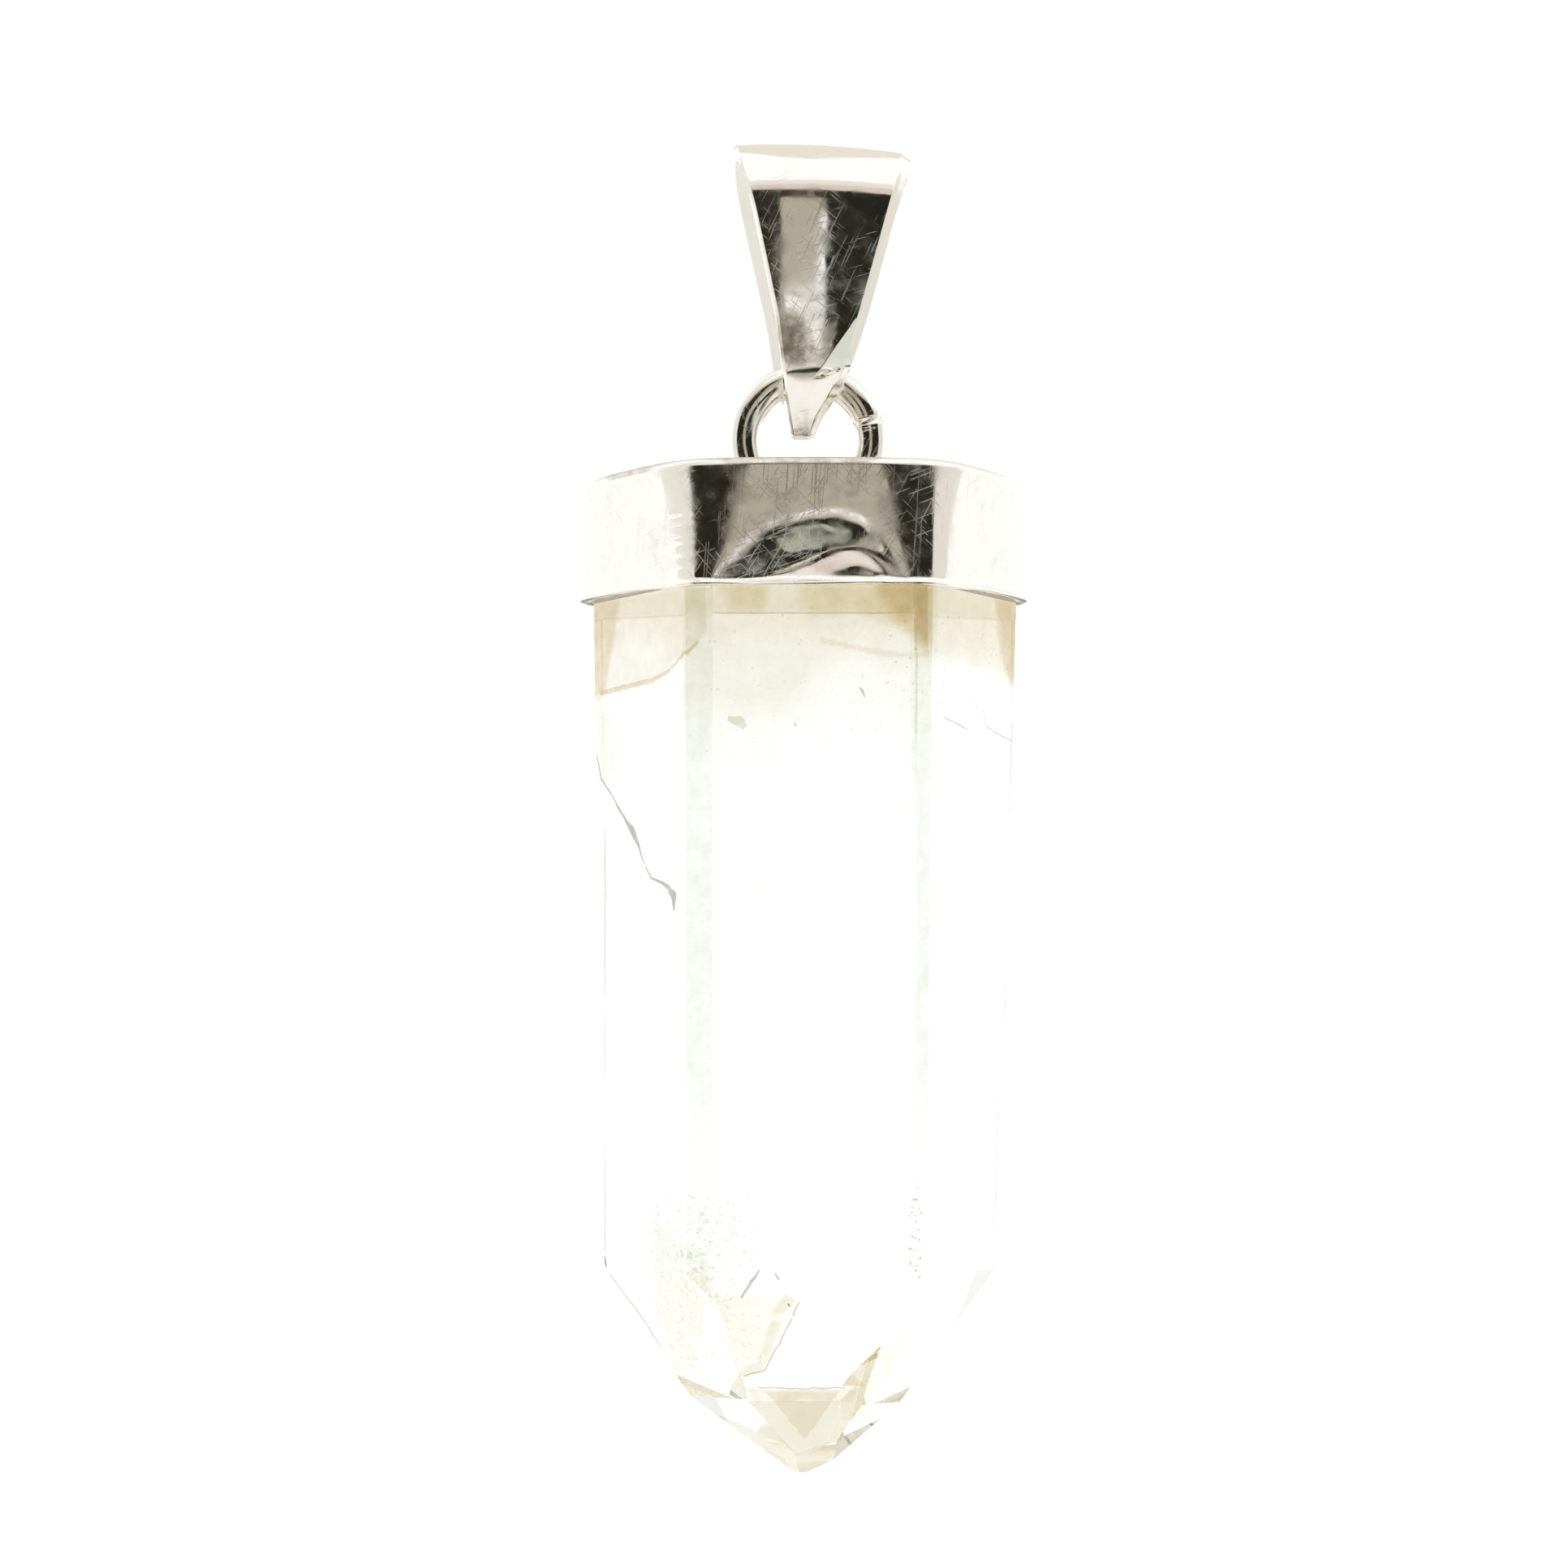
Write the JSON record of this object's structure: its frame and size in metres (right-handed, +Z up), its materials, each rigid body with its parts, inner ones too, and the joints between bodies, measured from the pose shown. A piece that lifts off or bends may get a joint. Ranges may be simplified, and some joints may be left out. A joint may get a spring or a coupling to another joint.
{
  "type": "quartz pendant",
  "caption": "Clear quartz point pendant: a six-sided crystal in a hexagonal silver cap, with a soldered ring and a tapered folded bail.",
  "frame": {"origin": "inside top of the bail's tunnel, where a chain or cord bears", "axes": "+Z up along the hanging pendant, -Y out of the pendant's front, +X to its right as the front is seen"},
  "size_m": [0.0166, 0.015, 0.0493],
  "materials": {
    "bail_silver": "polished silver, lightly scratched",
    "cap_silver": "polished silver, lightly scratched and dented",
    "quartz": "polished clear quartz with faint veils"
  },
  "bodies": {
    "bail": {"bail": "bail_silver"},
    "drop": {"cap": "cap_silver", "crystal": "quartz"}
  },
  "joints": [
    {"name": "drop_swing", "type": "hinge", "parent": "bail", "child": "drop", "pos_m": [-0.00048, 0, -0.00796], "axis": [1, 0, 0], "range_deg": [-90, 90]}
  ]
}
